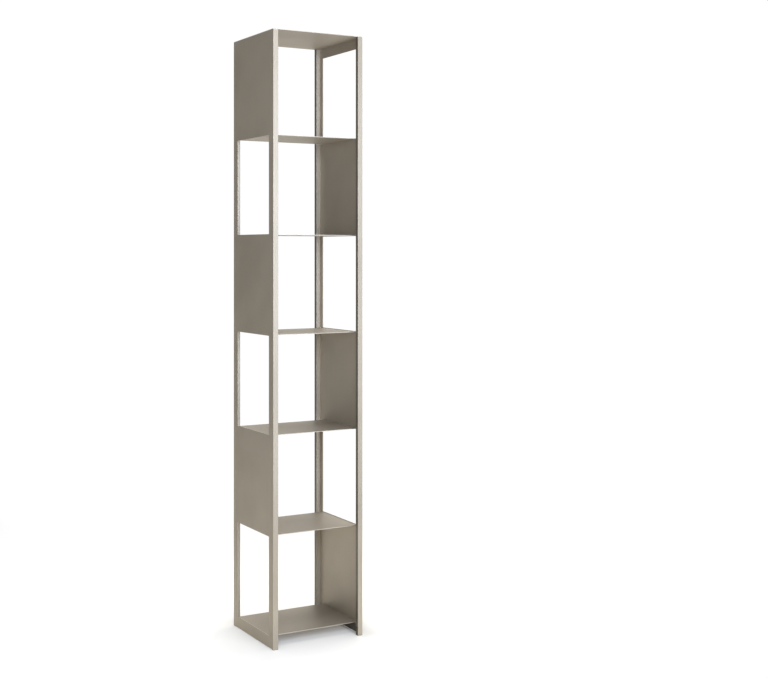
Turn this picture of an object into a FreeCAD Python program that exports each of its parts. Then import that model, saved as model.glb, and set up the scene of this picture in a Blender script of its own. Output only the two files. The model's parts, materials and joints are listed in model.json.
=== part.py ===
import FreeCAD, Part
import os
import Sketcher

# A tall, narrow shelving tower of welded sheet steel, open at the front and at the back.
# Lengths are millimetres. +X is the right-hand side, the front faces -Y and +Z is up.
# The origin is on the floor, under the middle of the tower.

document = FreeCAD.newDocument("shelving_tower")

# Driving sizes
# Each row is an alias, a value and what the value sets.
driving_sizes = [
    ("overall_width", 360.0, "tower, outside, left to right"),
    ("overall_depth", 352.0, "tower, outside, front to rear"),
    ("overall_height", 2200.0, "floor to the top of the top panel"),
    ("post_width", 19.0, "corner tube, left to right"),
    ("post_depth", 17.0, "corner tube, front to rear"),
    ("post_wall", 1.5, "corner tube, wall"),
    ("post_corner_radius", 1.0, "corner tube, outer corner"),
    ("side_thickness", 2.0, "side panel, sheet"),
    ("top_thickness", 2.0, "top panel, sheet"),
    ("shelf_thickness", 2.0, "shelf, sheet"),
    ("window_border", 38.0, "front or rear face of the tower to a window and to a shelf"),
    ("top_border", 40.0, "top of the tower to the highest window"),
    ("window_ledge", 1.5, "side panel that stands beyond a shelf's face"),
    ("window_corner_radius", 2.0, "window, cut corner"),
    ("bottom_shelf_height", 41.5, "floor to the bottom shelf's top face"),
    ("top_bay_height", 371.5, "highest shelf's top face to the top of the tower"),
    ("edge_round", 0.4, "deburred edge of a shelf and of the top panel"),
    ("cap_flange", 1.5, "end cap, flange between the post and the floor"),
    ("cap_plug_height", 24.0, "end cap, plug inside the post"),
    ("cap_fit", 0.05, "end cap, plug to the post's wall"),
    ("cap_lead_in", 1.0, "end cap, chamfer at the plug's upper end"),
    ("foot_stem_diameter", 6.0, "levelling foot, stem"),
    ("foot_stem_clearance", 0.05, "levelling foot, stem to its bore"),
    ("foot_stem_length", 26.0, "levelling foot, stem"),
    ("foot_stem_lead_in", 0.8, "levelling foot, chamfer at the stem's upper end"),
    ("foot_pad_flats", 9.0, "levelling foot, hexagonal pad across its flats"),
    ("foot_pad_height", 4.0, "levelling foot, pad"),
    ("foot_pad_floor", 1.2, "levelling foot, pad left under the stem"),
    ("foot_pad_chamfer", 0.5, "levelling foot, chamfer round the pad's underside"),
    ("foot_recess_clearance", 0.4, "levelling foot, corners of the pad to the cap's recess"),
    ("foot_lift", 0.3, "levelling foot, floor to the pad when it is screwed home"),
]

sheet = document.addObject("Spreadsheet::Sheet", "sizes")
for row, (alias, value, meaning) in enumerate(driving_sizes, start=1):
    sheet.set(f"A{row}", alias)
    sheet.set(f"B{row}", str(value))
    sheet.set(f"C{row}", meaning)
    sheet.setAlias(f"B{row}", alias)
document.recompute()

# Formulas that several pieces share
LEFT = "-sizes.overall_width / 2"
RIGHT = "sizes.overall_width / 2"
METAL_BOTTOM = "sizes.cap_flange"
METAL_HEIGHT = "sizes.overall_height - sizes.top_thickness - sizes.cap_flange"
RIGHT_POST_X = "(sizes.overall_width - sizes.post_width) / 2"
REAR_POST_Y = "(sizes.overall_depth - sizes.post_depth) / 2"
SHELF_LENGTH = "sizes.overall_width - 2 * sizes.side_thickness"
INSIDE_BORDERS = "sizes.overall_depth - 2 * sizes.window_border"

# Shelves and bays are counted upwards from the bottom shelf, which is number 0.
TOP_SHELF = 5
SHELVED_HEIGHT = "(sizes.overall_height - sizes.bottom_shelf_height - sizes.top_bay_height)"
SHELF_PITCH = f"{SHELVED_HEIGHT} / {TOP_SHELF}"
LEFT_WINDOW_BAYS = (0, 2, 4)
RIGHT_WINDOW_BAYS = (1, 3)
CORNERS = [
    ("front_left", f"-{RIGHT_POST_X}", f"-{REAR_POST_Y}"),
    ("front_right", RIGHT_POST_X, f"-{REAR_POST_Y}"),
    ("rear_left", f"-{RIGHT_POST_X}", REAR_POST_Y),
    ("rear_right", RIGHT_POST_X, REAR_POST_Y),
]
SAME_PLACE = 0.001

pieces = []


# Tools for drawing and cutting

def new_piece(label, x="0", y="0", z="0"):
    """A body whose own origin stands at the place that three formulas give."""
    body = document.addObject("PartDesign::Body", label)
    body.Label = label
    for axis, formula in zip("xyz", (x, y, z)):
        body.setExpression(f".Placement.Base.{axis}", formula)
    pieces.append(body)
    return body


def new_sketch(body, name, plane="XY_Plane", lift=None):
    """A sketch on one of the body's own origin planes, or lifted off it by a formula."""
    sketch = body.newObject("Sketcher::SketchObject", f"{body.Name}_{name}")
    origin_planes = body.Origin.OriginFeatures
    sketch.AttachmentSupport = [next(item for item in origin_planes if item.Role == plane)]
    sketch.MapMode = "FlatFace"
    if lift is not None:
        sketch.setExpression(".AttachmentOffset.Base.z", lift)
    return sketch


def set_length(sketch, kind, ends, formula):
    """A length in the sketch that follows a formula."""
    value = sketch.evalExpression(formula)
    index = sketch.addConstraint(Sketcher.Constraint(kind, *ends, value))
    sketch.setExpression(f"Constraints[{index}]", formula)


def draw_outline(sketch, points):
    """Lines from point to point and back to the first, joined at their ends."""
    for start, end in zip(points, points[1:] + points[:1]):
        sketch.addGeometry(Part.LineSegment(start, end), False)
    for line in range(len(points)):
        sketch.addConstraint(Sketcher.Constraint("Coincident", line, 2, (line + 1) % len(points), 1))


def draw_rectangle(sketch, width, height, bottom=None):
    """A rectangle about the vertical axis, at a height or else centred on the origin."""
    half = sketch.evalExpression(width) / 2
    tall = sketch.evalExpression(height)
    low = -tall / 2 if bottom is None else sketch.evalExpression(bottom)
    corners = [(-half, low), (half, low), (half, low + tall), (-half, low + tall)]
    draw_outline(sketch, [FreeCAD.Vector(x, y, 0) for x, y in corners])
    for kind, line in (("Horizontal", 0), ("Vertical", 1), ("Horizontal", 2), ("Vertical", 3)):
        sketch.addConstraint(Sketcher.Constraint(kind, line))
    set_length(sketch, "DistanceX", (0, 1, 0, 2), width)
    set_length(sketch, "DistanceY", (1, 1, 1, 2), height)
    if bottom is None:
        sketch.addConstraint(Sketcher.Constraint("Symmetric", 0, 1, 2, 1, -1, 1))
        return
    set_length(sketch, "DistanceX", (-1, 1, 0, 2), f"({width}) / 2")
    if bottom == "0":
        sketch.addConstraint(Sketcher.Constraint("PointOnObject", 0, 2, -1))
    else:
        set_length(sketch, "DistanceY", (-1, 1, 0, 2), bottom)


def draw_circle(sketch, radius):
    """A circle round the origin."""
    size = sketch.evalExpression(radius)
    circle = sketch.addGeometry(Part.Circle(FreeCAD.Vector(), FreeCAD.Vector(0, 0, 1), size), False)
    sketch.addConstraint(Sketcher.Constraint("Coincident", circle, 3, -1, 1))
    set_length(sketch, "Radius", (circle,), radius)


def draw_hexagon(sketch, corner_radius):
    """A regular hexagon round the origin, with two level sides."""
    size = sketch.evalExpression(corner_radius)
    turns = [FreeCAD.Rotation(FreeCAD.Vector(0, 0, 1), 60 * corner) for corner in range(6)]
    draw_outline(sketch, [turn.multVec(FreeCAD.Vector(size, 0, 0)) for turn in turns])
    guide = sketch.addGeometry(Part.Circle(FreeCAD.Vector(), FreeCAD.Vector(0, 0, 1), size), True)
    sketch.addConstraint(Sketcher.Constraint("Coincident", guide, 3, -1, 1))
    set_length(sketch, "Radius", (guide,), corner_radius)
    for side in range(6):
        sketch.addConstraint(Sketcher.Constraint("PointOnObject", side, 1, guide))
    for side in range(1, 6):
        sketch.addConstraint(Sketcher.Constraint("Equal", 0, side))
    sketch.addConstraint(Sketcher.Constraint("Horizontal", 1))


def add_pad(body, sketch, length):
    """Material from the sketch, along the plane's own direction."""
    pad = body.newObject("PartDesign::Pad", f"{sketch.Name}_pad")
    pad.Profile = sketch
    pad.setExpression("Length", length)
    document.recompute()
    return pad


def add_pocket(body, sketch, depth=None):
    """A cut from the sketch, along the plane's own direction: to a depth or right through."""
    before = body.Shape.Volume
    pocket = body.newObject("PartDesign::Pocket", f"{sketch.Name}_pocket")
    pocket.Profile = sketch
    pocket.Reversed = True
    if depth is None:
        pocket.Type = "ThroughAll"
    else:
        pocket.setExpression("Length", depth)
    document.recompute()
    if body.Shape.Volume >= before:
        raise RuntimeError(f"{pocket.Name} cuts nothing")
    return pocket


def repeat_upwards(body, pocket, count, spacing):
    """The same cut again, one above the other on its own sketch's vertical axis."""
    pattern = body.newObject("PartDesign::LinearPattern", f"{pocket.Name}_pattern")
    pattern.Originals = [pocket]
    pattern.Direction = (pocket.Profile[0], ["V_Axis"])
    pattern.Occurrences = count
    pattern.setExpression("Length", f"{count - 1} * ({spacing})")
    body.Tip = pattern
    document.recompute()
    return pattern


def dress_edges(body, kind, size, wanted):
    """A fillet or chamfer on each edge that the test picks out, given the body's box."""
    base = body.Tip
    box = base.Shape.BoundBox
    numbered = enumerate(base.Shape.Edges, start=1)
    names = [f"Edge{number}" for number, edge in numbered if wanted(edge, box)]
    feature = body.newObject(f"PartDesign::{kind}", f"{body.Name}_{kind}_{len(body.Group)}")
    feature.Base = (base, names)
    feature.setExpression("Radius" if kind == "Fillet" else "Size", size)
    document.recompute()
    return feature


def runs_along(edge, axis):
    """Whether the edge is a straight one along the axis."""
    if edge.Curve.TypeId != "Part::GeomLine":
        return False
    run = edge.lastVertex().Point - edge.firstVertex().Point
    return run.cross(axis).Length < SAME_PLACE


def lies_at(edge, height):
    """Whether the whole edge lies level at the height, in the body's own frame."""
    return all(abs(vertex.Z - height) < SAME_PLACE for vertex in edge.Vertexes)


ALONG_X = FreeCAD.Vector(1, 0, 0)
ALONG_Z = FreeCAD.Vector(0, 0, 1)


# Frame: four corner tubes, which the side panels join in pairs

def shelf_top(number):
    """Height of a shelf's top face above the floor."""
    return f"(sizes.bottom_shelf_height + {number} * {SHELF_PITCH})"


def window_bottom(bay):
    """Height of a window's lower edge above the panel's own lower edge."""
    return f"{shelf_top(bay)} + sizes.window_ledge - sizes.cap_flange"


def make_post(corner, x, y):
    """A rectangular tube with rounded corners, from the end cap up to the top panel."""
    post = new_piece(f"{corner}_post", x, y, METAL_BOTTOM)
    outside = new_sketch(post, "outside")
    draw_rectangle(outside, "sizes.post_width", "sizes.post_depth")
    add_pad(post, outside, METAL_HEIGHT)
    dress_edges(post, "Fillet", "sizes.post_corner_radius", lambda edge, box: runs_along(edge, ALONG_Z))
    inside = new_sketch(post, "inside")
    draw_rectangle(
        inside,
        "sizes.post_width - 2 * sizes.post_wall",
        "sizes.post_depth - 2 * sizes.post_wall",
    )
    add_pocket(post, inside)


def make_side_panel(label, x, window_bays, open_top_bay):
    """A sheet between the front and rear posts, with a window in every second bay."""
    panel = new_piece(label, x, "0", METAL_BOTTOM)
    outline = new_sketch(panel, "outline", "YZ_Plane")
    draw_rectangle(outline, "sizes.overall_depth - 2 * sizes.post_depth", METAL_HEIGHT, "0")
    add_pad(panel, outline, "sizes.side_thickness")

    window = new_sketch(panel, "window", "YZ_Plane")
    draw_rectangle(
        window,
        INSIDE_BORDERS,
        f"{SHELF_PITCH} - sizes.shelf_thickness - 2 * sizes.window_ledge",
        window_bottom(window_bays[0]),
    )
    pocket = add_pocket(panel, window)
    repeat_upwards(panel, pocket, len(window_bays), f"2 * {SHELF_PITCH}")
    if open_top_bay:
        highest = new_sketch(panel, "highest_window", "YZ_Plane")
        highest_bottom = window_bottom(TOP_SHELF)
        highest_top = "sizes.overall_height - sizes.top_border - sizes.cap_flange"
        draw_rectangle(highest, INSIDE_BORDERS, f"{highest_top} - ({highest_bottom})", highest_bottom)
        add_pocket(panel, highest)

    dress_edges(
        panel, "Fillet", "sizes.window_corner_radius",
        lambda edge, box: runs_along(edge, ALONG_X) and abs(edge.CenterOfMass.y) < box.YMax - SAME_PLACE,
    )


# Plates: the top panel and the shelves

def make_top_panel():
    """The full-size sheet that closes the posts and the side panels at the top."""
    panel = new_piece("top_panel", z="sizes.overall_height - sizes.top_thickness")
    outline = new_sketch(panel, "outline")
    draw_rectangle(outline, "sizes.overall_width", "sizes.overall_depth")
    add_pad(panel, outline, "sizes.top_thickness")
    dress_edges(panel, "Fillet", "sizes.post_corner_radius", lambda edge, box: runs_along(edge, ALONG_Z))
    dress_edges(panel, "Fillet", "sizes.edge_round", lambda edge, box: lies_at(edge, box.ZMax))


def make_shelf(label, number):
    """A flat plate between the side panels, set back from the posts at front and rear."""
    shelf = new_piece(label, z=f"{shelf_top(number)} - sizes.shelf_thickness")
    outline = new_sketch(shelf, "outline")
    draw_rectangle(outline, SHELF_LENGTH, INSIDE_BORDERS)
    add_pad(shelf, outline, "sizes.shelf_thickness")
    dress_edges(shelf, "Fillet", "sizes.edge_round", lambda edge, box: runs_along(edge, ALONG_X))


# Feet: an end cap in each post, and a levelling foot screwed up into it

PAD_CORNER_RADIUS = "sizes.foot_pad_flats / sqrt(3)"


def make_end_cap(corner, x, y):
    """A plug with a flange as large as the post, bored and recessed for the foot."""
    cap = new_piece(f"{corner}_end_cap", x, y)
    flange = new_sketch(cap, "flange")
    draw_rectangle(flange, "sizes.post_width", "sizes.post_depth")
    add_pad(cap, flange, "sizes.cap_flange")
    dress_edges(cap, "Fillet", "sizes.post_corner_radius", lambda edge, box: runs_along(edge, ALONG_Z))

    plug = new_sketch(cap, "plug")
    draw_rectangle(
        plug,
        "sizes.post_width - 2 * (sizes.post_wall + sizes.cap_fit)",
        "sizes.post_depth - 2 * (sizes.post_wall + sizes.cap_fit)",
    )
    add_pad(cap, plug, "sizes.cap_flange + sizes.cap_plug_height")
    dress_edges(cap, "Chamfer", "sizes.cap_lead_in", lambda edge, box: lies_at(edge, box.ZMax))

    bore = new_sketch(cap, "bore")
    draw_circle(bore, "sizes.foot_stem_diameter / 2 + sizes.foot_stem_clearance")
    add_pocket(cap, bore)
    recess = new_sketch(cap, "recess")
    draw_circle(recess, f"{PAD_CORNER_RADIUS} + sizes.foot_recess_clearance")
    add_pocket(cap, recess, "sizes.foot_lift + sizes.foot_pad_height")


def make_foot_stem(corner, x, y):
    """The steel stem, whose lower end is moulded into the pad."""
    stem = new_piece(f"{corner}_foot_stem", x, y, "sizes.foot_lift + sizes.foot_pad_floor")
    section = new_sketch(stem, "section")
    draw_circle(section, "sizes.foot_stem_diameter / 2")
    add_pad(stem, section, "sizes.foot_stem_length")
    dress_edges(stem, "Chamfer", "sizes.foot_stem_lead_in", lambda edge, box: lies_at(edge, box.ZMax))


def make_foot_pad(corner, x, y):
    """The hexagonal pad, which a spanner turns and which stands on the floor."""
    pad = new_piece(f"{corner}_foot_pad", x, y, "sizes.foot_lift")
    section = new_sketch(pad, "section")
    draw_hexagon(section, PAD_CORNER_RADIUS)
    add_pad(pad, section, "sizes.foot_pad_height")
    dress_edges(pad, "Chamfer", "sizes.foot_pad_chamfer", lambda edge, box: lies_at(edge, box.ZMin))
    socket = new_sketch(pad, "socket", lift="sizes.foot_pad_floor")
    draw_circle(socket, "sizes.foot_stem_diameter / 2")
    add_pocket(pad, socket)


for place in CORNERS:
    make_post(*place)
make_side_panel("left_side_panel", LEFT, LEFT_WINDOW_BAYS, open_top_bay=False)
make_side_panel(
    "right_side_panel", f"{RIGHT} - sizes.side_thickness", RIGHT_WINDOW_BAYS, open_top_bay=True)
make_top_panel()
for order in range(TOP_SHELF):
    make_shelf(f"shelf_{order + 1}", TOP_SHELF - order)
make_shelf("bottom_shelf", 0)
for place in CORNERS:
    make_end_cap(*place)
    make_foot_stem(*place)
    make_foot_pad(*place)

# Checks, then one file for each piece
document.recompute()
for item in document.Objects:
    if "Invalid" in item.State or "Error" in item.State:
        raise RuntimeError(f"{item.Name} did not build: {item.State}")
for piece in pieces:
    if piece.Shape.isNull() or not piece.Shape.isValid() or len(piece.Shape.Solids) != 1:
        raise RuntimeError(f"{piece.Label} is not one sound solid")

os.makedirs("parts", exist_ok=True)
for piece in pieces:
    piece.Shape.exportStep(f"parts/{piece.Label}.step")
    box = piece.Shape.BoundBox
    print(f"{piece.Label:24s} {box.XLength:8.2f} x {box.YLength:8.2f} x {box.ZLength:8.2f}",
          f"from z {box.ZMin:8.2f}, volume {piece.Shape.Volume / 1000:9.2f} cm3")
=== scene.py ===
# %% [markdown]
# # A shelving tower of satin sheet metal
#
# The tower is 2.2 m tall and only 360 mm wide: four slim tubes at the corners, thin plates between
# them, and two side panels that are closed and cut away by turns. The construction is already
# there as a packed model, so it is loaded first, and everything below works around it.
# Lengths are metres, +Z is up and the front faces -Y.

# %% Load the construction
import bpy
import json
import math
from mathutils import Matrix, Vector


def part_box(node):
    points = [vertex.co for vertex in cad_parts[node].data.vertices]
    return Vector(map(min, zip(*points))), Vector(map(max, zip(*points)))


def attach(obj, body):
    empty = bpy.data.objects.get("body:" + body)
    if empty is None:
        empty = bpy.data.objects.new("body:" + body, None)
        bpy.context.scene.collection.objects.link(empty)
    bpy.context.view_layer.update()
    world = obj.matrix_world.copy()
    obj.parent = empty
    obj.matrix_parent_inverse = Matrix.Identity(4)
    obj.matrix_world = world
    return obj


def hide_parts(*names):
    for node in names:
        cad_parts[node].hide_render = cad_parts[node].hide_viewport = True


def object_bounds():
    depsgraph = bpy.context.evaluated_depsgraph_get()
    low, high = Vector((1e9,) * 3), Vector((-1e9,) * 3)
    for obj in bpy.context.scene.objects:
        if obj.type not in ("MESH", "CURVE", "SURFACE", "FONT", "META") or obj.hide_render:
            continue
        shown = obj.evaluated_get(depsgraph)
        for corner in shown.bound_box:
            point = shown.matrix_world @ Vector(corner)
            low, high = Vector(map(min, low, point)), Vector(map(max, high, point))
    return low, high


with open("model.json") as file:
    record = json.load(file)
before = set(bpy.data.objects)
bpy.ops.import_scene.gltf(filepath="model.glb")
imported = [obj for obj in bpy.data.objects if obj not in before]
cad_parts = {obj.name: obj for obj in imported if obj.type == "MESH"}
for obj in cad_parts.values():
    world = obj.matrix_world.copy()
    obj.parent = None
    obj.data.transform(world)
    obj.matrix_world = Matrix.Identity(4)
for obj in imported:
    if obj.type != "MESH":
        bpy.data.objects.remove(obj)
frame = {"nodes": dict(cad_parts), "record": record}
cad_low, cad_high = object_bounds()
nodes = frame["nodes"]
print(len(nodes), "pieces from", [round(x, 3) for x in cad_low], "to", [round(x, 3) for x in cad_high])

# %% [markdown]
# ## The camera
#
# A photographer who wants upright posts keeps the camera level and shifts the lens instead of
# tilting it. Blender's camera can do the same: it is turned about Z alone, and its shift moves the
# picture up or down. The place, the turn and the focal length come from a fit of the tower's own
# edges, so each is a real size, and only the horizon is a height in the picture.

# %% Camera
PICTURE_WIDTH = 768
PICTURE_HEIGHT = 678
HORIZON_ROW = 250.56
FOCAL_LENGTH_IN_PIXELS = 1272.6
CAMERA_PLACE = (-2.0918, -4.2660, 1.4139)
CAMERA_TURN = math.radians(30.02)
# An unturned camera looks straight down, and a quarter turn about X makes it level.
LEVEL = math.radians(90)
SENSOR_WIDTH = 36.0

camera_data = bpy.data.cameras.new("level_camera")
camera_data.sensor_width = SENSOR_WIDTH
camera_data.lens = FOCAL_LENGTH_IN_PIXELS / PICTURE_WIDTH * SENSOR_WIDTH
camera_data.shift_y = (HORIZON_ROW - PICTURE_HEIGHT / 2) / PICTURE_WIDTH
camera = bpy.data.objects.new("level_camera", camera_data)
camera.location = CAMERA_PLACE
camera.rotation_euler = (LEVEL, 0, -CAMERA_TURN)
bpy.context.scene.collection.objects.link(camera)
bpy.context.scene.camera = camera
bpy.context.scene.view_settings.view_transform = "Standard"
print("lens", round(camera_data.lens, 2), "mm, shift", round(camera_data.shift_y, 4))

# %% [markdown]
# ## Writing a material as a sum
#
# A material is a tree of small boxes, and a tree of arithmetic is hard to read. One class makes it
# short: it holds one socket, and a Python sum on it adds the Math nodes. Its node() method adds
# any other node, from the node's type, its settings and what goes into it.


# %% Sockets with arithmetic
# A Mix node has sockets for every kind of value, and these are the ones for colours.
MIX_FACTOR = 0
MIX_A = 6
MIX_B = 7
MIX_RESULT = 2


class Signal:
    """One socket of a node tree. Arithmetic on it adds Math nodes, and node() adds any other."""

    def __init__(self, tree, socket=None):
        self.tree = tree
        self.socket = socket

    def node(self, kind, settings=None, inputs=None, output=0):
        """A new node: its settings first, then values or links by socket name or number."""
        made = self.tree.nodes.new(kind)
        for name, value in (settings or {}).items():
            if name == "stops":
                elements = made.color_ramp.elements
                while len(elements) < len(value):
                    elements.new(1.0)
                for stop, (place, colour) in zip(elements, value):
                    stop.position = place
                    stop.color = (*colour, 1)
            else:
                setattr(made, name, value)
        for name, value in (inputs or {}).items():
            if isinstance(value, Signal):
                self.tree.links.new(value.socket, made.inputs[name])
            else:
                made.inputs[name].default_value = value
        return Signal(self.tree, made.outputs[output] if made.outputs else None)

    def math(self, operation, *values):
        """One Math node on numbers or signals, in their order."""
        return self.node("ShaderNodeMath", {"operation": operation}, dict(enumerate(values)))

    def __add__(self, other):
        return self.math("ADD", self, other)

    __radd__ = __add__

    def __sub__(self, other):
        return self.math("SUBTRACT", self, other)

    def __rsub__(self, other):
        return self.math("SUBTRACT", other, self)

    def __mul__(self, other):
        return self.math("MULTIPLY", self, other)

    __rmul__ = __mul__

    def __abs__(self):
        return self.math("ABSOLUTE", self)

    def step(self, low, high):
        """0 below low, 1 above high, and smooth between them."""
        inputs = {"Value": self, "From Min": low, "From Max": high}
        return self.node("ShaderNodeMapRange", {"interpolation_type": "SMOOTHSTEP"}, inputs)

    def tint(self, dark, light):
        """A colour between two colours, as this value goes from 0 to 1."""
        inputs = {MIX_FACTOR: self, MIX_A: (*dark, 1), MIX_B: (*light, 1)}
        return self.node("ShaderNodeMix", {"data_type": "RGBA"}, inputs, MIX_RESULT)

    def blend(self, colour, share):
        """This colour with a share of another one laid over it."""
        inputs = {MIX_FACTOR: share, MIX_A: self, MIX_B: (*colour, 1)}
        return self.node("ShaderNodeMix", {"data_type": "RGBA"}, inputs, MIX_RESULT)


def split(vector):
    """The three parts of a vector, each a signal."""
    parts = vector.node("ShaderNodeSeparateXYZ", inputs={0: vector})
    return [Signal(vector.tree, parts.socket.node.outputs[part]) for part in range(3)]


print("signals know", [name for name in vars(Signal) if not name.startswith("__")])

# %% [markdown]
# ## The room
#
# Satin metal has little colour of its own: it shows the room. This room is white behind the
# tower and on the right, pale in front, and dim on the left, which is why the left side of the
# tower looks so much darker than its front. Its level is written as two ramps that run once
# round the horizon, one for the walls up to head height and one for what is above them, and a
# level for the ceiling. The world uses them on the direction of a ray.

# %% Room
# Each pair is an azimuth in degrees and a level. 0 is the rear, 90 the right and -90 the left.
WALL_LEVELS = ((-180, 0.9), (-150, 0.7), (-115, 0.45), (-85, 0.34), (-60, 0.26),
               (-26, 0.26), (-9, 1.02), (90, 1.02), (130, 0.8), (180, 0.9))
UPPER_LEVELS = ((-180, 0.12), (-60, 0.03), (0, 0.1), (30, 1.7), (60, 3.4), (120, 0.12), (180, 0.12))
CEILING_LEVEL = 0.45
# Between the two elevations of a pair, in degrees, one level gives way to the next.
WALL_TOP = (12, 24)
CEILING_FROM = (30, 55)
# A ramp's colours stay between 0 and 1, so its levels are divided by this one first.
ROOM_MOST = 3.5
WHITE = (1, 1, 1, 1)


def ramp_round(turn, levels):
    """The level at a turn from 0 to 1: in front, left, rear, right and in front again."""
    stops = [(0.5 + azimuth / 360, (level / ROOM_MOST,) * 3) for azimuth, level in levels]
    return turn.node("ShaderNodeValToRGB", {"stops": stops}, {0: turn}) * ROOM_MOST


def climb(height, degrees):
    """0 below the first elevation and 1 above the second."""
    return height.step(*(math.sin(math.radians(angle)) for angle in degrees))


def room_level(direction):
    """How bright the room is in a direction."""
    x, y, z = split(direction)
    turn = 0.5 + x.math("ARCTAN2", x, y) * (1 / math.tau)
    walls = ramp_round(turn, WALL_LEVELS)
    sides = walls + (ramp_round(turn, UPPER_LEVELS) - walls) * climb(z, WALL_TOP)
    return sides + (CEILING_LEVEL - sides) * climb(z, CEILING_FROM)


world = bpy.data.worlds.new("pale_room")
bpy.context.scene.world = world
world.use_nodes = True
world.node_tree.nodes.clear()
room = Signal(world.node_tree)
ray = room.node("ShaderNodeTexCoord", output="Generated")
background = room.node("ShaderNodeBackground", inputs={"Color": WHITE, "Strength": room_level(ray)})
room.node("ShaderNodeOutputWorld", inputs={"Surface": background})
print("walls from", min(level for _, level in WALL_LEVELS), "to", max(level for _, level in WALL_LEVELS))

# %% [markdown]
# ## The floor
#
# Near the tower the floor is matt paper that takes a shadow. It also glows a little, as a light
# table does, which keeps the shadow soft and close. It glows most behind the tower, less in
# front, least under it, and hardly at all close to its right side: the lower glow under the tower
# is painted shade, and the dip along its right side is a painted shadow.
# Further out the floor is plain white, and beyond that it has the room's own level, so that floor
# and room meet without a line.

# %% Floor
FLOOR_HALF_SIZE = 60.0
FLOOR_PALE = (0.78, 0.75, 0.68)
FLOOR_EVEN = 1.02
MATT_UNTIL = 0.9
EVEN_FROM = 1.8
ROOM_FROM = 4.0
GLOW_UNDER = 0.12
GLOW_FRONT = 0.20
GLOW_REAR = 0.44
FRONT_TO_REAR = (-0.3, 0.3)
# The next are distances out from the edge of the tower's plan, negative under it.
UNDER_TO_OPEN = (-0.20, 0.35)
# The dip in the glow that paints a faint shadow along the tower's right side, and where it starts and ends.
SHADE_RIGHT = 0.22
SHADE_STARTS = (-0.02, 0)
SHADE_ENDS = (0, 0.11)
SHADE_ENDS_IN_FRONT = (-0.02, 0.055)

bpy.ops.object.select_all(action="DESELECT")
bpy.ops.mesh.primitive_plane_add(size=2 * FLOOR_HALF_SIZE)
floor = bpy.context.object
floor.name = "studio_floor"


def new_material(name):
    """An empty material and a signal that adds nodes to it."""
    material = bpy.data.materials.new(name)
    material.use_nodes = True
    material.node_tree.nodes.clear()
    return material, Signal(material.node_tree)


floor_material, paper = new_material("pale_floor")
place = paper.node("ShaderNodeTexCoord", output="Object")
distance = paper.node("ShaderNodeVectorMath", {"operation": "LENGTH"}, {0: place}, "Value")
across, deep, _ = split(place)
past_front_or_rear = abs(deep) - cad_high.y
past_right = across - cad_high.x
past_edge = paper.math("MAXIMUM", abs(across) - cad_high.x, past_front_or_rear)
in_the_open = GLOW_FRONT + (GLOW_REAR - GLOW_FRONT) * deep.step(*FRONT_TO_REAR)
# Less glow under the tower paints shade there.
glow_with_painted_shade = GLOW_UNDER + (in_the_open - GLOW_UNDER) * past_edge.step(*UNDER_TO_OPEN)
# The dip along the right side is a painted shadow.
beside = past_right.step(*SHADE_STARTS) * (1 - past_right.step(*SHADE_ENDS))
shade = SHADE_RIGHT * beside * (1 - past_front_or_rear.step(*SHADE_ENDS_IN_FRONT))
glow = paper.node("ShaderNodeEmission", inputs={
    "Color": WHITE, "Strength": paper.math("MAXIMUM", 0, glow_with_painted_shade - shade)})
matt = paper.node("ShaderNodeBsdfDiffuse", inputs={"Color": (*FLOOR_PALE, 1)})
near = paper.node("ShaderNodeAddShader", inputs={0: matt, 1: glow})
outer = FLOOR_EVEN + (room_level(place) - FLOOR_EVEN) * distance.step(EVEN_FROM, ROOM_FROM)
far = paper.node("ShaderNodeEmission", inputs={"Color": WHITE, "Strength": outer})
farness = distance.step(MATT_UNTIL, EVEN_FROM)
surface = paper.node("ShaderNodeMixShader", inputs={0: farness, 1: near, 2: far})
paper.node("ShaderNodeOutputMaterial", inputs={"Surface": surface})
floor.data.materials.append(floor_material)
print("floor", 2 * FLOOR_HALF_SIZE, "m wide, matt for", MATT_UNTIL, "m round the tower")

# %% [markdown]
# ## The lamps
#
# Two soft lamps stand in front of the tower at chest height, the stronger one to the left, and a
# wide one hangs overhead. Each is an area lamp, because a wide lamp gives soft shadows and a
# broad, even sheen on satin metal. The front pair is a little cool, like daylight, which is why
# the front faces look nearly neutral while the sides keep the warm tone of the metal.

# %% Lamps
DAYLIGHT = (0.87, 1.01, 1.28)
OVERHEAD_WHITE = (1.0, 1.0, 1.0)
OVERHEAD_PLACE = (0, -0.3, 4.4)
OVERHEAD_AIM = (0, 0, 0)
OVERHEAD_SIZE = 3.0
OVERHEAD_POWER = 85
FRONT_LEFT_PLACE = (-1.094, -2.577, 1.68)
FRONT_LEFT_POWER = 50
FRONT_RIGHT_PLACE = (0.25, -2.79, 1.68)
FRONT_RIGHT_POWER = 33
FRONT_AIM = (0, 0, 1.55)
FRONT_SIZE = 1.4


def add_softbox(name, place, aim, size, power, colour):
    """A square area lamp at a place, turned towards a point."""
    data = bpy.data.lights.new(name, "AREA")
    data.size = size
    data.energy = power
    data.color = colour
    lamp = bpy.data.objects.new(name, data)
    lamp.location = place
    lamp.rotation_euler = (Vector(aim) - Vector(place)).to_track_quat("-Z", "Y").to_euler()
    lamp.visible_camera = False
    bpy.context.scene.collection.objects.link(lamp)


add_softbox("overhead_softbox", OVERHEAD_PLACE, OVERHEAD_AIM, OVERHEAD_SIZE, OVERHEAD_POWER, OVERHEAD_WHITE)
add_softbox("front_left_softbox", FRONT_LEFT_PLACE, FRONT_AIM, FRONT_SIZE, FRONT_LEFT_POWER, DAYLIGHT)
add_softbox("front_right_softbox", FRONT_RIGHT_PLACE, FRONT_AIM, FRONT_SIZE, FRONT_RIGHT_POWER, DAYLIGHT)
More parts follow.
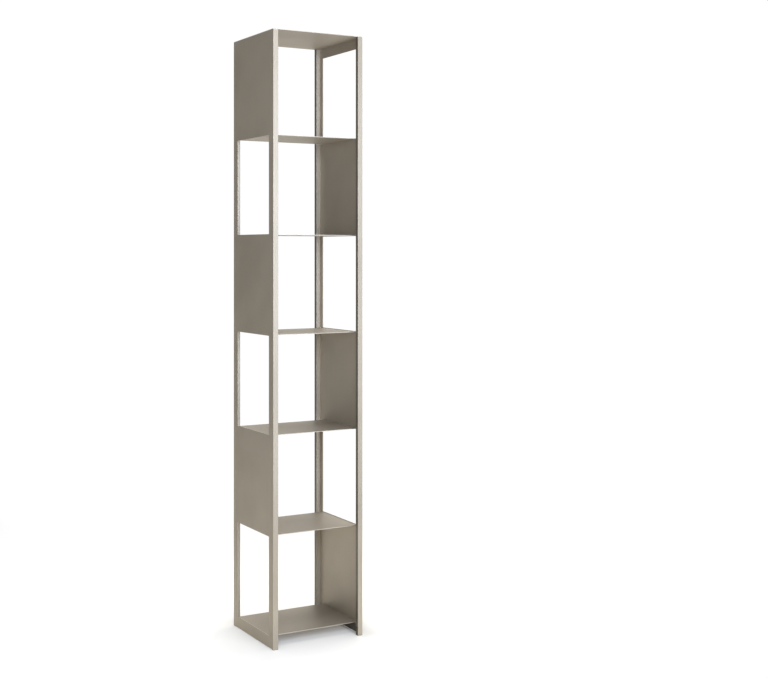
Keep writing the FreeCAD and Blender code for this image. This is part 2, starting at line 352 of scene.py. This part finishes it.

# %% [markdown]
# ## Satin metal
#
# Under a lens the finish is fine grain, drawn one way along each piece, beneath a thin clear
# lacquer. From a step away it shows as slow drifts of tone, faint streaks, and edges that
# catch the light where handling and deburring have smoothed them. So the material has three
# patterns, a slow one, a drawn one and a fine one, and the last two are far longer than wide.
# Two masks, which the next steps write, say where the edges are worn and paler, partly as a
# painted highlight, and where shade is painted dark on the metal.
#
# Metal also grows brighter at a glancing angle, where a worn satin finish scatters more of the
# light away, and the Specular Tint socket, which is the tint at that angle, takes that share back.

# %% Satin metal
METAL_DEEP = (0.42, 0.366, 0.286)
METAL_PALE = (0.49, 0.428, 0.337)
# The paler edge colour, partly wear and partly a painted highlight.
METAL_WORN_AND_SHEEN = (0.62, 0.56, 0.47)
# The dark painted as shade inside the base and on the inner faces of the posts.
METAL_PAINTED_SHADE = (0.13, 0.115, 0.09)
METALLIC = 0.85
EDGE_TINT = (0.5, 0.5, 0.5)
LACQUER = 0.15
LACQUER_ROUGH = 0.35
DRIFT = {"per_metre": 3.0, "detail": 3.0}
STREAKS = {"per_metre": 140, "detail": 4.0, "fine_share": 0.6}
GRAIN = {"per_metre": 1500, "detail": 2.0}
# Lengths along the grain are squeezed to this share before the noise reads them, which draws it out.
SQUEEZE = 0.02
NOISE_MIDDLE = 0.5
NOISE_SPAN = (0.3, 0.7)
TONE_DRIFT, TONE_STREAKS, TONE_GRAIN = 0.7, 0.15, 0.15
ROUGH_CENTRE = 0.58
ROUGH_DRIFT = 0.06
ROUGH_STREAKS = 0.05
ROUGH_WORN = 0.10
RELIEF_GRAIN, RELIEF_STREAKS = 0.6, 0.4
RELIEF_STRENGTH = 0.5
RELIEF_HEIGHT = 0.00002


def noise(position, per_metre, detail, fine_share=0.5):
    """Soft noise: its scale, how many finer layers it has, and how strong each of them is."""
    return position.node("ShaderNodeTexNoise", inputs={
        "Vector": position, "Scale": per_metre, "Detail": detail, "Roughness": fine_share})


def satin_metal(name, along, worn_and_sheen_of, painted_shade_of):
    """Satin metal drawn along an axis. Two functions give masks: worn edges, partly a painted highlight,
    and painted shade.
    """
    material, metal = new_material(name)
    position = metal.node("ShaderNodeTexCoord", output="Object")
    squeeze = tuple(SQUEEZE if axis == along else 1 for axis in "XYZ")
    drawn = metal.node("ShaderNodeMapping", inputs={"Vector": position, "Scale": squeeze})
    drift, streaks, grain = noise(position, **DRIFT), noise(drawn, **STREAKS), noise(drawn, **GRAIN)
    worn_and_sheen = worn_and_sheen_of(position)
    slow, lines = drift.step(*NOISE_SPAN), streaks.step(*NOISE_SPAN)
    tone = TONE_DRIFT * slow + TONE_STREAKS * lines + TONE_GRAIN * grain
    # The edges are blended paler, partly wear and partly a painted highlight.
    finished = tone.step(0, 1).tint(METAL_DEEP, METAL_PALE).blend(METAL_WORN_AND_SHEEN, worn_and_sheen)
    unevenness = ROUGH_DRIFT * (drift - NOISE_MIDDLE) + ROUGH_STREAKS * (streaks - NOISE_MIDDLE)
    relief = metal.node("ShaderNodeBump", inputs={
        "Height": RELIEF_GRAIN * grain + RELIEF_STREAKS * streaks,
        "Strength": RELIEF_STRENGTH, "Distance": RELIEF_HEIGHT})
    # Where the second mask is 1, painted shade darkens the base colour.
    shader = metal.node("ShaderNodeBsdfPrincipled", inputs={
        "Base Color": finished.blend(METAL_PAINTED_SHADE, painted_shade_of(position)), "Metallic": METALLIC,
        "Roughness": ROUGH_CENTRE + unevenness - ROUGH_WORN * worn_and_sheen, "Normal": relief,
        "Specular Tint": (*EDGE_TINT, 1), "Coat Weight": LACQUER, "Coat Roughness": LACQUER_ROUGH})
    metal.node("ShaderNodeOutputMaterial", inputs={"Surface": shader})
    return material


print("grain of", round(1000 / GRAIN["per_metre"], 2), "mm, drawn out", round(1 / SQUEEZE), "times")

# %% [markdown]
# ## Where shade is painted on the metal
#
# Inside the base, and on the faces of the posts that look across a bay, the colour is painted
# dark as shade, not as a colour of the metal, and from a distance that draws the thin dark lines
# beside the pale posts. A painted texture could mark those faces, but a mask by place needs
# none: a face lies at a known distance from the middle of the tower, so a step finds it.

# %% Painted shade on inner faces
SKIN = 0.0008
# The painted shade inside the base starts this far below the bottom shelf.
PAINTED_SHADE_DROP = 0.007
# The share of painted shade on the faces of the posts that look across a bay.
INNER_FACE_PAINTED_SHADE = 0.75
shelf_low, shelf_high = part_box("bottom_shelf")
post_low, post_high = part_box("front_right_post")


def inside_base(position):
    """Painted shade: 1 on the faces below the bottom shelf that look inwards or down, and 0 elsewhere."""
    x, y, z = split(position)
    low = 1 - z.step(shelf_low.z - PAINTED_SHADE_DROP, shelf_low.z - PAINTED_SHADE_DROP + SKIN)
    within = 1 - abs(x).step(shelf_high.x, shelf_high.x + SKIN)
    between = 1 - abs(y).step(cad_high.y - 2 * SKIN, cad_high.y - SKIN)
    return low * within * between


def painted_shade_on_posts(position):
    """Painted shade inside the base and on the faces of the posts that look across a bay at each other."""
    x, _, _ = split(position)
    inner = 1 - abs(x).step(post_low.x + SKIN / 2, post_low.x + SKIN)
    return x.math("MAXIMUM", inside_base(position), INNER_FACE_PAINTED_SHADE * inner)


# Where the painted shade starts, below the shelf and on the posts.
print("raw below", round(shelf_low.z - PAINTED_SHADE_DROP, 4), "m and on the posts inside", round(post_low.x, 4), "m")

# %% [markdown]
# ## Where the metal is worn, with a painted highlight
#
# Hands reach the edges first, and an edge is deburred before the finish goes on, so a narrow line
# along each one is smoother, and paler, partly from wear and partly as a painted highlight where
# the edge catches the light. A Bevel node could find the edges, but it is slow and works in
# Cycles alone. Here too the place is enough, and each kind of piece has its own rule: the four
# corners of a post, the front and rear edge of a shelf, the rim of the top and the cut edges of
# a window.

# %% Worn edges with a painted highlight
WORN_AND_SHEEN_WIDTH = 0.0015


def centre_and_half(low, high):
    """The middle of a span and half of its length."""
    return (low + high) / 2, (high - low) / 2


POST_X, POST_HALF_X = centre_and_half(post_low.x, post_high.x)
POST_Y, POST_HALF_Y = centre_and_half(-post_high.y, -post_low.y)


def post_edges(position):
    """The four upright corners of each tube."""
    x, y, _ = split(position)
    beside = abs(abs(x) - POST_X).step(POST_HALF_X - WORN_AND_SHEEN_WIDTH, POST_HALF_X)
    return beside * abs(abs(y) - POST_Y).step(POST_HALF_Y - WORN_AND_SHEEN_WIDTH, POST_HALF_Y)


def shelf_edges(position):
    """The front and the rear edge of a shelf."""
    return abs(split(position)[1]).step(shelf_high.y - WORN_AND_SHEEN_WIDTH, shelf_high.y)


def top_edges(position):
    """The rim of the top panel."""
    x, y, _ = split(position)
    sides = abs(x).step(cad_high.x - WORN_AND_SHEEN_WIDTH, cad_high.x)
    return x.math("MAXIMUM", sides, abs(y).step(cad_high.y - WORN_AND_SHEEN_WIDTH, cad_high.y))


def window_edges(side):
    """A mask function for the cut edges of the windows of one side panel."""
    openings = frame["record"]["physics"]["openings"]
    boxes = [item["box_m"] for item in openings if f"{side}_window" in item["name"]]

    def edges(position):
        _, y, z = split(position)
        found = 0
        for low, high in boxes:
            _, half_y = centre_and_half(low[1], high[1])
            middle, half_z = centre_and_half(low[2], high[2])
            gap = y.math("MAXIMUM", abs(y) - half_y, abs(z - middle) - half_z)
            found = y.math("MAXIMUM", found, 1 - abs(gap).step(0, WORN_AND_SHEEN_WIDTH))
        return found

    return edges


# Prints the width of the worn edges with their painted highlight.
print("worn edges", 1000 * WORN_AND_SHEEN_WIDTH, "mm wide")

# %% [markdown]
# ## Dressing the sheet metal
#
# Each kind of piece gets its own satin metal, because its edges lie elsewhere and its grain may
# run another way: up and down on the posts and the side panels, and from left to right on the
# top and the shelves. One metal with a mask for each piece could do it too, but would be a far
# larger tree. The shapes stay as the construction has them.


# %% Dress the sheet metal
def give(piece, material):
    """Makes a material the only one of a piece."""
    piece.data.materials.clear()
    piece.data.materials.append(material)


def dress(names, material):
    """Gives one material to each of the named nodes."""
    for name in names:
        give(nodes[name], material)
    print(material.name, "on", len(names), "pieces")


CORNERS = [f"{depth}_{side}" for depth in ("front", "rear") for side in ("left", "right")]
SHELVES = [f"shelf_{number}" for number in range(1, 6)] + ["bottom_shelf"]
# The posts take painted shade inside the base and on their inner faces, the other pieces inside the base
# alone.
dress([f"{corner}_post" for corner in CORNERS], satin_metal("satin_posts", "Z", post_edges, painted_shade_on_posts))
dress(SHELVES, satin_metal("satin_shelves", "X", shelf_edges, inside_base))
dress(["top_panel"], satin_metal("satin_top", "X", top_edges, inside_base))
for side in ("left", "right"):
    dress([f"{side}_side_panel"], satin_metal(f"satin_{side}_side", "Z", window_edges(side), inside_base))

# %% [markdown]
# ## The thread of a levelling foot
#
# A levelling foot is turned to lift its corner, so its stem carries a thread all the way up: M6,
# with one turn to the millimetre. The construction has a plain stem of the same outside size,
# because a thread has too many faces for it. A bump could draw the thread, but at a foot that
# is screwed out its outline shows. So the stem is a core at the root of the thread, with its top
# edge bevelled as on a cut bolt, and a ridge around it. The ridge is one triangle that a Screw
# modifier winds up into a helix. A Boolean joins it to the core, so that each stem is one closed
# skin. One stem is made this way, and the other three are copies with their own meshes.


# %% Selecting by place
def use_alone(obj):
    """Selects one object, and nothing else, as the one that operators act on."""
    bpy.ops.object.select_all(action="DESELECT")
    obj.select_set(True)
    bpy.context.view_layer.objects.active = obj


def open_with_edges(obj, wanted):
    """Opens an object in edit mode with only those edges selected whose two ends pass a test."""
    use_alone(obj)
    bpy.ops.object.mode_set(mode="EDIT")
    bpy.ops.mesh.select_mode(type="EDGE")
    bpy.ops.mesh.select_all(action="DESELECT")
    bpy.ops.object.mode_set(mode="OBJECT")
    points = obj.data.vertices
    for edge in obj.data.edges:
        edge.select = all(wanted(points[index].co) for index in edge.vertices)
    bpy.ops.object.mode_set(mode="EDIT")
    print(obj.name, "opened with", sum(edge.select for edge in obj.data.edges), "edges")


# %% Core of a stem
THREAD_STEPS = 24
THREAD_ROOT = 0.00245
LEAD_IN = 0.0007
LEAD_IN_SEGMENTS = 2


def make_core(name, centre, length):
    """The stem at the root of its thread, with a lead-in at the top."""
    bpy.ops.object.select_all(action="DESELECT")
    bpy.ops.mesh.primitive_cylinder_add(
        vertices=2 * THREAD_STEPS, radius=THREAD_ROOT, depth=length, location=centre)
    core = bpy.context.object
    core.name = name
    open_with_edges(core, lambda end: end.z > 0)
    bpy.ops.mesh.bevel(offset=LEAD_IN, segments=LEAD_IN_SEGMENTS, affect="EDGES")
    bpy.ops.object.mode_set(mode="OBJECT")
    print(core.name, "core", round(1000 * length, 1), "mm long")
    return core


# %% Ridge of the thread
THREAD_PITCH = 0.001
THREAD_OUTSIDE = 0.00297
UPRIGHT = (math.radians(90), math.radians(90), 0)


def add_triangle(centre, length):
    """The ridge's cross-section, at the foot of the stem and as far out as the thread reaches."""
    first_turn = (centre.x, centre.y, centre.z - length / 2 + THREAD_PITCH)
    bpy.ops.object.select_all(action="DESELECT")
    bpy.ops.mesh.primitive_circle_add(
        vertices=3, radius=THREAD_PITCH / 2, location=first_turn, rotation=UPRIGHT)
    bpy.ops.object.transform_apply(location=False, rotation=True, scale=False)
    bpy.ops.object.mode_set(mode="EDIT")
    bpy.ops.mesh.select_all(action="SELECT")
    bpy.ops.transform.translate(value=(THREAD_OUTSIDE - THREAD_PITCH / 2, 0, 0))
    bpy.ops.object.mode_set(mode="OBJECT")
    return bpy.context.object


def wind_ridge(centre, length):
    """The ridge of the thread: the triangle wound up round the stem's axis and closed at both ends."""
    ridge = add_triangle(centre, length)
    winding = ridge.modifiers.new("winding", "SCREW")
    winding.screw_offset = THREAD_PITCH
    winding.iterations = int((length - LEAD_IN) / THREAD_PITCH) - 1
    winding.steps = THREAD_STEPS
    winding.render_steps = THREAD_STEPS
    print("ridge of", winding.iterations, "turns")
    bpy.ops.object.modifier_apply(modifier="winding")
    bpy.ops.object.mode_set(mode="EDIT")
    bpy.ops.mesh.select_mode(type="VERT")
    bpy.ops.mesh.select_all(action="DESELECT")
    bpy.ops.mesh.select_non_manifold()
    bpy.ops.mesh.fill_holes(sides=3)
    bpy.ops.mesh.select_all(action="SELECT")
    bpy.ops.mesh.normals_make_consistent(inside=False)
    bpy.ops.object.mode_set(mode="OBJECT")
    return ridge


# %% Four threaded stems
def make_stem(name, low, high):
    """A threaded stem that fills a box from its lowest to its highest corner."""
    centre, length = (low + high) / 2, high.z - low.z
    core, ridge = make_core(name, centre, length), wind_ridge(centre, length)
    thread = core.modifiers.new("thread", "BOOLEAN")
    thread.operation = "UNION"
    thread.solver = "EXACT"
    thread.object = ridge
    use_alone(core)
    bpy.ops.object.modifier_apply(modifier="thread")
    bpy.data.objects.remove(ridge)
    use_alone(core)
    bpy.ops.object.transform_apply(location=True, rotation=True, scale=True)
    return core


def stem_name(corner):
    """The name of the threaded stem at a corner."""
    return f"{corner}_threaded_stem"


first_corner = CORNERS[0]
first_low, first_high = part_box(f"{first_corner}_foot_stem")
threaded = {first_corner: make_stem(stem_name(first_corner), first_low, first_high)}
for corner in CORNERS[1:]:
    use_alone(threaded[first_corner])
    bpy.ops.object.duplicate()
    copy = bpy.context.object
    copy.name = stem_name(corner)
    copy.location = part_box(f"{corner}_foot_stem")[0] - first_low
    bpy.ops.object.transform_apply(location=True, rotation=False, scale=False)
    threaded[corner] = copy
for corner, stem in threaded.items():
    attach(stem, f"{corner}_foot")
    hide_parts(f"{corner}_foot_stem")
print(len(threaded), "stems with", len(threaded[first_corner].data.polygons), "faces each")

# %% [markdown]
# ## End caps and pads
#
# An end cap of moulded plastic closes each post, and a levelling foot screws into it. The caps
# are warm grey and the pads black, and both have the fine, dull texture of a spark-eroded mould.
# A finer noise in the bump makes that texture, and a slow one lets the tone and the gloss drift.

# %% Moulded plastic
CLOUDS = {"per_metre": 60.0, "detail": 2.0}
MOULD_TEXTURE = {"per_metre": 2500.0, "detail": 1.0}
MOULD_STRENGTH = 0.4
MOULD_DEPTH = 0.00004
TONE_CLOUDS, TONE_MOULD = 0.7, 0.3
PLASTIC_ROUGH_DRIFT = 0.1
CAP_DARK, CAP_PALE, CAP_ROUGH = (0.22, 0.20, 0.17), (0.30, 0.275, 0.24), 0.55
PAD_DARK, PAD_PALE, PAD_ROUGH = (0.018, 0.018, 0.018), (0.04, 0.04, 0.042), 0.5


def moulded_plastic(name, dark, pale, rough):
    """Matt plastic with the fine texture of its mould."""
    material, plastic = new_material(name)
    position = plastic.node("ShaderNodeTexCoord", output="Object")
    clouds, texture = noise(position, **CLOUDS), noise(position, **MOULD_TEXTURE)
    relief = plastic.node("ShaderNodeBump", inputs={
        "Height": texture, "Strength": MOULD_STRENGTH, "Distance": MOULD_DEPTH})
    shader = plastic.node("ShaderNodeBsdfPrincipled", inputs={
        "Base Color": (TONE_CLOUDS * clouds + TONE_MOULD * texture).tint(dark, pale),
        "Roughness": rough + PLASTIC_ROUGH_DRIFT * (clouds - NOISE_MIDDLE), "Normal": relief})
    plastic.node("ShaderNodeOutputMaterial", inputs={"Surface": shader})
    return material


dress([f"{corner}_end_cap" for corner in CORNERS],
      moulded_plastic("cap_plastic", CAP_DARK, CAP_PALE, CAP_ROUGH))
dress([f"{corner}_foot_pad" for corner in CORNERS],
      moulded_plastic("pad_plastic", PAD_DARK, PAD_PALE, PAD_ROUGH))

# %% [markdown]
# ## Bright zinc
#
# Zinc plate starts as bright as a mirror and soon gets a faint bloom, in which patches of it are
# duller and warmer than the rest. One noise gives both the colour and the gloss, because they
# change together. The plain stems of the construction are hidden, and get the same finish.

# %% Bright zinc
BLOOM = {"per_metre": 220.0, "detail": 4.0}
ZINC_BLUE = (0.50, 0.52, 0.55)
ZINC_WARM = (0.66, 0.66, 0.64)
ZINC_ROUGH = 0.26
ZINC_ROUGH_BLOOM = 0.16


def bright_zinc(name):
    """Zinc plate with a faint bloom."""
    material, zinc = new_material(name)
    bloom = noise(zinc.node("ShaderNodeTexCoord", output="Object"), **BLOOM)
    shader = zinc.node("ShaderNodeBsdfPrincipled", inputs={
        "Base Color": bloom.step(*NOISE_SPAN).tint(ZINC_BLUE, ZINC_WARM), "Metallic": 1.0,
        "Roughness": ZINC_ROUGH + ZINC_ROUGH_BLOOM * bloom})
    zinc.node("ShaderNodeOutputMaterial", inputs={"Surface": shader})
    return material


zinc_plate = bright_zinc("zinc_steel")
dress([f"{corner}_foot_stem" for corner in CORNERS], zinc_plate)
for stem in threaded.values():
    give(stem, zinc_plate)

# %% [markdown]
